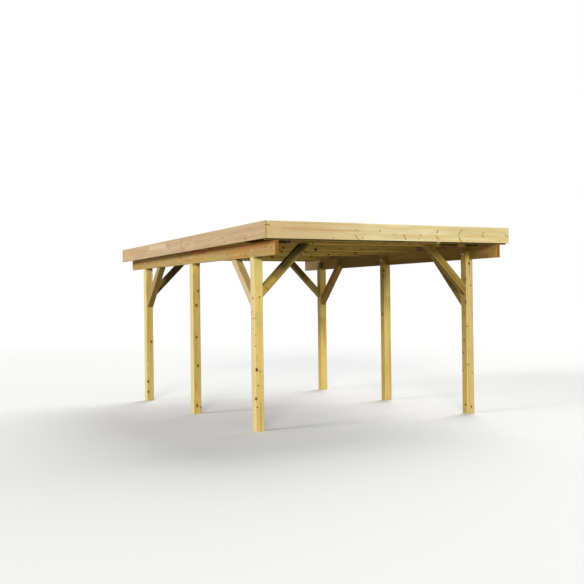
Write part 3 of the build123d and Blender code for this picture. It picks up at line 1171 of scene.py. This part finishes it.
class CARPORT_OT_braces(bpy.types.Operator):
    """Knee braces across and along the carport, mitred at both ends"""

    bl_idname = "carport.braces"
    bl_label = "Knee braces"

    def brace(self, node, run):
        """A mitred blank, with the directions along it and across it."""
        low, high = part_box(node)
        leg = high.z - low.z
        foot = brace_foot(low, high, run)
        up = Vector((0, 0, 1))
        side = run.cross(up)
        width = abs(side.dot(high - low))
        direction = (run + up).normalized()
        inner = (up - run).normalized()
        centre = foot + (run + up) * leg / 2 + inner * width / 2
        length = leg * math.sqrt(2) + 2 * width
        deselect_all()
        bpy.ops.mesh.primitive_cube_add(size=1.0)
        blank = name_piece("timber_" + node)
        turn = Matrix((direction, side, inner)).transposed().to_4x4()
        blank.matrix_world = Matrix.Translation(centre) @ turn @ Matrix.Diagonal((length, width, width, 1.0))
        apply_place()
        with editing(blank):
            bpy.ops.mesh.select_all(action="SELECT")
            bpy.ops.mesh.normals_make_consistent(inside=False)
        saw(blank, foot, -run)
        saw(blank, Vector((0, 0, high.z)), up)
        return blank, direction, side

    def execute(self, context):
        end = end_grain_finish("brace_timber_end")
        faces = {
            kind: timber_finish(
                kind + "_brace_face", kind, (kind + "_brace",), knottiness=0.24, checks=0.5)
            for kind in ("cross", "length")
        }
        for kind, row, side, run in brace_runs():
            node = "%s_brace_%s_%s" % (kind, row, side)
            piece, along, across = self.brace(node, run)
            outer = None
            if kind == "length":
                beam_low, beam_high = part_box("side_beam_" + side)
                seat_low = Vector((beam_low.x, piece.bound_box[0][1] - CUT_MARGIN, beam_low.z))
                seat_high = Vector((beam_high.x, piece.bound_box[6][1] + CUT_MARGIN, beam_high.z))
                cut_away(piece, cut_blank("housing", seat_low, seat_high))
                outer = outer_side(*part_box(node))
            finish_timber(
                piece, node, "brace_timber", along, across, (faces[kind], end), outer, looks_down=True)
        return {"FINISHED"}


class CARPORT_OT_rafters(bpy.types.Operator):
    """Rafters across the beams, their tops planed to the fall of the roof"""

    bl_idname = "carport.rafters"
    bl_label = "Rafters"

    def execute(self, context):
        finishes = (
            timber_finish("rafter_timber_face", "rafter", ("rafter_",), knottiness=0.30, checks=0.5),
            end_grain_finish("rafter_timber_end"),
        )
        for node in RAFTERS:
            rafter = cut_roof_board(node, False)
            finish_timber(rafter, node, "rafter_timber", (1, 0, 0), (0, 0, 1), finishes)
        return {"FINISHED"}


class CARPORT_OT_fascia(bpy.types.Operator):
    """Boards round the roof, cut to its fall"""

    bl_idname = "carport.fascia"
    bl_label = "Fascia boards"

    def execute(self, context):
        pale_end = end_grain_finish("board_timber_end", "board_end", ("fascia_left", "fascia_right"))
        front = (
            timber_finish("front_board_face", "front", ("fascia_front",), knottiness=0.08, checks=0.15,
                          ring_strength=0.6),
            pale_end,
        )
        joint = (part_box("fascia_left_front")[1].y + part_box("fascia_left_rear")[0].y) / 2
        sides = (
            timber_finish("side_board_face", "side", ("fascia_left",), knottiness=0.16, checks=0.3,
                          seam=joint),
            pale_end,
        )
        boards = [("fascia_front", (1, 0, 0), front), ("fascia_rear", (1, 0, 0), sides)]
        for side in SIDES:
            for part in ("front", "rear"):
                boards.append(("fascia_%s_%s" % (side, part), (0, 1, 0), sides))
        for node, along, finishes in boards:
            board = cut_roof_board(node, node != "fascia_rear")
            finish_timber(board, node, "fascia_timber", along, (0, 0, 1), finishes)
        return {"FINISHED"}


def turned_rod(name, vertices, radius, depth, middle):
    """A round or many-sided rod about the Z axis."""
    deselect_all()
    bpy.ops.mesh.primitive_cylinder_add(
        vertices=vertices, radius=radius, depth=depth, location=(0, 0, middle))
    rod = name_piece(name)
    apply_place()
    return rod


def turned_disc(name, radius, low, high, vertices=32, edge=0.0, segments=2):
    """A rod between two levels, with its upper rim rounded."""
    disc = turned_rod(name, vertices, radius, high - low, (low + high) / 2)
    if edge:
        mesh = disc.data
        for vertex in mesh.vertices:
            vertex.select = vertex.co.z > high - 1e-6
        for line in mesh.edges:
            line.select = all(mesh.vertices[i].select for i in line.vertices)
        for polygon in mesh.polygons:
            polygon.select = all(mesh.vertices[i].select for i in polygon.vertices)
        with editing(disc):
            bpy.ops.mesh.bevel(offset=edge, segments=segments, affect="EDGES")
    return disc


def thread_end(name, radius, low, high, pitch):
    """A short bolt end with its thread standing up in rings."""
    rod = turned_rod(name, 24, radius * THREAD_ROOT, pitch / 4, low + pitch / 8)
    for polygon in rod.data.polygons:
        polygon.select = polygon.normal.z > 0.9
    level = low + pitch / 4
    wide = False
    with editing(rod):
        bpy.ops.mesh.select_mode(type="FACE")
        while level < high - pitch / 2:
            factor = THREAD_ROOT if wide else 1 / THREAD_ROOT
            bpy.ops.mesh.extrude_region_move(TRANSFORM_OT_translate={"value": (0, 0, pitch / 2)})
            bpy.ops.transform.resize(value=(factor, factor, 1))
            wide = not wide
            level += pitch / 2
        bpy.ops.mesh.extrude_region_move(TRANSFORM_OT_translate={"value": (0, 0, high - level)})
        bpy.ops.transform.resize(value=(THREAD_TIP, THREAD_TIP, 1))
    return rod


def set_down(pattern, matrix):
    """A copy of a small piece, with a mesh of its own, set at its place."""
    piece = bpy.data.objects.new("copy", pattern.data.copy())
    bpy.context.scene.collection.objects.link(piece)
    make_active(piece)
    piece.matrix_world = matrix
    apply_place()
    return piece


def pointing(place, direction):
    """Matrix that stands a piece's Z axis along a direction at a place."""
    turn = Vector((0.0, 0.0, 1.0)).rotation_difference(Vector(direction))
    return Matrix.Translation(place) @ turn.to_matrix().to_4x4()


def gather_fixings(pieces, name, finish):
    """Joins small pieces into one, with its finish and its place in the frame."""
    make_active(pieces[0])
    for piece in pieces:
        piece.select_set(True)
    bpy.ops.object.join()
    gathered = name_piece(name)
    make_active(gathered)
    bpy.ops.object.shade_smooth_by_angle(angle=math.radians(35))
    gathered.data.materials.clear()
    gathered.data.materials.append(finish)
    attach(gathered, "root")
    return gathered


class CARPORT_OT_bolts(bpy.types.Operator):
    """Bolts through the beams and post heads: domed head, washer, nut and thread"""

    bl_idname = "carport.bolts"
    bl_label = "Bolts"

    def execute(self, context):
        sizes = fixing_settings()
        zinc = zinc_finish()
        low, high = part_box("beam_bolts_left")
        post_low, post_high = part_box("post_front_left")
        grip = post_high.x - post_low.x
        level = (low.z + high.z) / 2
        end_length = high.x - post_high.x - sizes.washer_thickness
        head = turned_disc("bolt_head", sizes.head_diameter / 2, 0.0, sizes.head_height, 32,
                           sizes.head_height * HEAD_ROUNDING, 5)
        washer = turned_disc("bolt_washer", sizes.washer_diameter / 2, 0.0, sizes.washer_thickness, 32,
                             WASHER_EDGE)
        nut = turned_disc("bolt_nut", sizes.nut_flats / math.sqrt(3), 0.0, sizes.nut_height, 6, NUT_EDGE)
        thread = thread_end("bolt_thread", sizes.bolt_diameter / 2, sizes.nut_height * 0.5, end_length,
                            sizes.thread_pitch)
        for side, turn in (("left", 1), ("right", -1)):
            placed = []
            for row in ROWS:
                row_low, row_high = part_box("post_%s_%s" % (row, side))
                outside = Vector((outer_side(row_low, row_high), (row_low.y + row_high.y) / 2, level))
                inside = outside + Vector((turn * grip, 0, 0))
                beyond = inside + Vector((turn * sizes.washer_thickness, 0, 0))
                for pattern, place, way in ((head, outside, -turn), (washer, inside, turn),
                                            (nut, beyond, turn), (thread, beyond, turn)):
                    placed.append(set_down(pattern, pointing(place, (way, 0, 0))))
            bolts = gather_fixings(placed, "bolts_" + side, zinc)
            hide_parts("beam_bolts_" + side)
        for pattern in (head, washer, nut, thread):
            bpy.data.objects.remove(pattern)
        return {"FINISHED"}


def make_wood_screw():
    """Countersunk screw head with a six-sided socket, standing just proud of the wood."""
    diameter = fixing_settings().screw_diameter
    low, high = WOOD_SCREW_LEVELS
    screw = turned_disc("wood_screw", diameter / 2, low, high, 16, WOOD_SCREW_EDGE, 1)
    cut_away(screw, turned_rod("screw_socket", 6, diameter * SOCKET_SHARE, SOCKET_DEPTH, SOCKET_MIDDLE))
    return screw


class CARPORT_OT_wood_screws(bpy.types.Operator):
    """Countersunk screws that hold the fascia boards and the braces"""

    bl_idname = "carport.wood_screws"
    bl_label = "Wood screws"

    front_columns: bpy.props.IntProperty(
        name="Columns", description="Pairs of screws along the front and rear boards", default=7)
    edge_distance: bpy.props.FloatProperty(
        name="Edge distance", description="From a board's end to its first screws", default=0.09,
        unit="LENGTH")

    def board_places(self):
        """Places and directions of the screws in the fascia boards."""
        places = []
        for node in RAFTERS:
            low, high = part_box(node)
            middle = (low.y + high.y) / 2
            for face, sign in ((cad_low.x, -1), (cad_high.x, 1)):
                for height in (low.z + SCREW_LOW_EDGE, high.z - SIDE_SCREW_TOP_EDGE):
                    places.append((Vector((face, middle, height)), Vector((sign, 0, 0))))
        for board, rafter, sign in (("fascia_front", RAFTERS[0], -1), ("fascia_rear", RAFTERS[-1], 1)):
            low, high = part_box(board)
            rafter_low, rafter_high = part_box(rafter)
            face = low.y if sign < 0 else high.y
            first = low.x + self.edge_distance
            step = (high.x - low.x - 2 * self.edge_distance) / (self.front_columns - 1)
            for column in range(self.front_columns):
                for height in (rafter_low.z + SCREW_LOW_EDGE, rafter_high.z - FRONT_SCREW_TOP_EDGE):
                    places.append((Vector((first + column * step, face, height)), Vector((0, sign, 0))))
        return places

    def brace_places(self):
        """Two screws near each end of a brace, in its lower face."""
        places = []
        up = Vector((0, 0, 1))
        for kind, row, side, run in brace_runs():
            low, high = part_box("%s_brace_%s_%s" % (kind, row, side))
            across = Vector((0, 1, 0)) if kind == "cross" else Vector((1, 0, 0))
            foot = brace_foot(low, high, run)
            leg = high.z - low.z
            for share in BRACE_SCREW_SHARES:
                for offset in BRACE_SCREW_OFFSETS:
                    place = foot + (run + up) * leg * share + across * offset
                    places.append((place, (run - up).normalized()))
        return places

    def execute(self, context):
        colours = colour_settings()
        plate = speckled_finish("yellow_plate", 300.0, 3.0, (0.35, 0.7), colours.yellow_plate,
                                colours.dull_plate, (0.38, 0.6), 0.7)
        pattern = make_wood_screw()
        for name, places in (("board_screws", self.board_places()), ("brace_screws", self.brace_places())):
            placed = [set_down(pattern, pointing(place, way)) for place, way in places]
            gather_fixings(placed, name, plate)
        bpy.data.objects.remove(pattern)
        return {"FINISHED"}


class CARPORT_OT_roof(bpy.types.Operator):
    """Coated roof sheets, with a screw and seal on every other rib over each rafter"""

    bl_idname = "carport.roof"
    bl_label = "Roof sheets and screws"

    def execute(self, context):
        roof = context.scene.carport_roof
        sizes = fixing_settings()
        colours = colour_settings()
        sheet = coated_sheet_finish()
        for name in ("left", "middle", "right"):
            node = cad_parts["roof_sheet_" + name]
            node.data.materials.clear()
            node.data.materials.append(sheet)
        low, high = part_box("roof_sheet_left")
        right_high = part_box("roof_sheet_right")[1]
        fall = roof_fall()
        pitch = (right_high.x - low.x - roof.rib_base) / roof.ribs
        seal = turned_disc("roof_seal", sizes.roof_seal_diameter / 2, *ROOF_SEAL_LEVELS, 20, ROOF_SCREW_EDGE)
        head = turned_disc(
            "roof_head", sizes.roof_screw_flats / math.sqrt(3), *ROOF_HEAD_LEVELS, 6, ROOF_SCREW_EDGE)
        seals = []
        heads = []
        for rafter in RAFTERS:
            rafter_low, rafter_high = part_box(rafter)
            y = (rafter_low.y + rafter_high.y) / 2
            for rib in range(0, roof.ribs + 1, 2):
                lapped = rib % 8 == 0 and rib < roof.ribs
                drop = 0.0 if lapped else roof.lap_rise
                crown = high.z - fall * (y - low.y) - drop
                x = low.x + roof.rib_base / 2 + rib * pitch
                place = pointing((x, y, crown), (0, fall, 1))
                seals.append(set_down(seal, place))
                heads.append(set_down(head, place))
        rubber = speckled_finish("rubber_seal", 500.0, 2.0, (0.3, 0.7), colours.rubber,
                                 colours.dusty_rubber, (0.6, 0.8))
        gather_fixings(seals, "roof_seals", rubber)
        gather_fixings(heads, "roof_screws", zinc_finish())
        bpy.data.objects.remove(seal)
        bpy.data.objects.remove(head)
        return {"FINISHED"}


class CARPORT_OT_stage(bpy.types.Operator):
    """Pale floor, soft lamps and the camera"""

    bl_idname = "carport.stage"
    bl_label = "Floor, light and camera"

    def lay_floor(self, stage):
        deselect_all()
        bpy.ops.mesh.primitive_plane_add(size=stage.floor_size, location=(0, 0, 0))
        floor = name_piece("floor")
        bench = FinishBench("floor_finish")
        far = bench.ease(bench.length(bench.place()), stage.fade_start, stage.fade_end)
        plain = bench.blend(far, rgba(stage.floor_colour), WHITE)
        bench.colour = bench.blend(bench.seen_rays(), rgba(stage.floor_bounce), plain)
        bench.coat(0.9, specular=0.1)
        floor.data.materials.append(bench.material)

    def hang_sun(self, stage, key, name):
        """Hangs the lamp whose settings start with this key."""
        azimuth, elevation, softness, strength, colour = (
            getattr(stage, key + "_" + part)
            for part in ("azimuth", "elevation", "softness", "strength", "colour"))
        way = Vector((
            -math.sin(azimuth) * math.cos(elevation),
            -math.cos(azimuth) * math.cos(elevation),
            math.sin(elevation)))
        deselect_all()
        bpy.ops.object.light_add(type="SUN", location=way * LAMP_DISTANCE)
        lamp = bpy.context.object
        lamp.name = name
        lamp.rotation_euler = way.to_track_quat("Z", "Y").to_euler()
        lamp.data.energy = strength
        lamp.data.angle = softness
        lamp.data.color = colour

    def fill_world(self, stage):
        """Light from all round, and white where the world itself is seen."""
        world = bpy.context.scene.world or bpy.data.worlds.new("studio")
        bpy.context.scene.world = world
        world.use_nodes = True
        bench = NodeBench(world.node_tree)
        mix = bench.node("ShaderNodeMixShader")
        bench.plug(mix.inputs[0], bench.seen_rays())
        for socket, colour, strength in ((1, SKY, stage.world_strength), (2, WHITE, 1.0)):
            light = bench.node("ShaderNodeBackground")
            bench.plug(light.inputs["Color"], colour)
            bench.plug(light.inputs["Strength"], strength)
            bench.plug(mix.inputs[socket], light.outputs[0])
        output = bench.node("ShaderNodeOutputWorld")
        bench.plug(output.inputs["Surface"], mix.outputs[0])

    def place_camera(self, stage):
        deselect_all()
        bpy.ops.object.camera_add(location=stage.camera_place)
        camera = bpy.context.object
        camera.name = "camera"
        turn = (
            Matrix.Rotation(-stage.camera_yaw, 4, "Z")
            @ Matrix.Rotation(math.pi / 2 + stage.camera_pitch, 4, "X")
            @ Matrix.Rotation(stage.camera_roll, 4, "Z"))
        camera.rotation_euler = turn.to_euler()
        camera.data.sensor_width = SENSOR_WIDTH
        camera.data.lens = stage.focal_pixels / stage.picture_pixels * SENSOR_WIDTH
        camera.data.shift_y = stage.centre_drop / stage.picture_pixels
        camera.data.clip_end = CLIP_END
        bpy.context.scene.camera = camera

    def execute(self, context):
        stage = context.scene.carport_stage
        self.lay_floor(stage)
        for key, name in (("key", "key"), ("side", "side_fill"), ("rear", "rear_fill")):
            self.hang_sun(stage, key, name)
        self.fill_world(stage)
        self.place_camera(stage)
        context.scene.view_settings.view_transform = "Standard"
        return {"FINISHED"}


PIECE_OPERATORS = (
    CARPORT_OT_posts,
    CARPORT_OT_side_beams,
    CARPORT_OT_braces,
    CARPORT_OT_rafters,
    CARPORT_OT_fascia,
    CARPORT_OT_bolts,
    CARPORT_OT_wood_screws,
    CARPORT_OT_roof,
    CARPORT_OT_stage,
)


class CARPORT_PT_panel(bpy.types.Panel):
    """Lists the carport's pieces in the order in which they are built"""

    bl_idname = "CARPORT_PT_panel"
    bl_label = "Timber Carport"
    bl_space_type = "VIEW_3D"
    bl_region_type = "UI"
    bl_category = "Carport"

    def draw(self, context):
        for operator in PIECE_OPERATORS:
            self.layout.operator(operator.bl_idname)
        for name in SETTINGS:
            settings = getattr(context.scene, name)
            column = self.layout.column(align=True)
            for key in settings.__annotations__:
                column.prop(settings, key)


def register():
    for name, group in SETTINGS.items():
        bpy.utils.register_class(group)
        setattr(bpy.types.Scene, name, bpy.props.PointerProperty(type=group))
    for operator in PIECE_OPERATORS:
        bpy.utils.register_class(operator)
    bpy.utils.register_class(CARPORT_PT_panel)


def unregister():
    bpy.utils.unregister_class(CARPORT_PT_panel)
    for operator in reversed(PIECE_OPERATORS):
        bpy.utils.unregister_class(operator)
    for name, group in reversed(SETTINGS.items()):
        delattr(bpy.types.Scene, name)
        bpy.utils.unregister_class(group)


def main():
    register()
    bpy.ops.carport.posts()
    bpy.ops.carport.side_beams()
    bpy.ops.carport.braces()
    bpy.ops.carport.rafters()
    bpy.ops.carport.fascia()
    bpy.ops.carport.bolts()
    bpy.ops.carport.wood_screws()
    bpy.ops.carport.roof()
    bpy.ops.carport.stage()


if __name__ == "__main__":
    main()
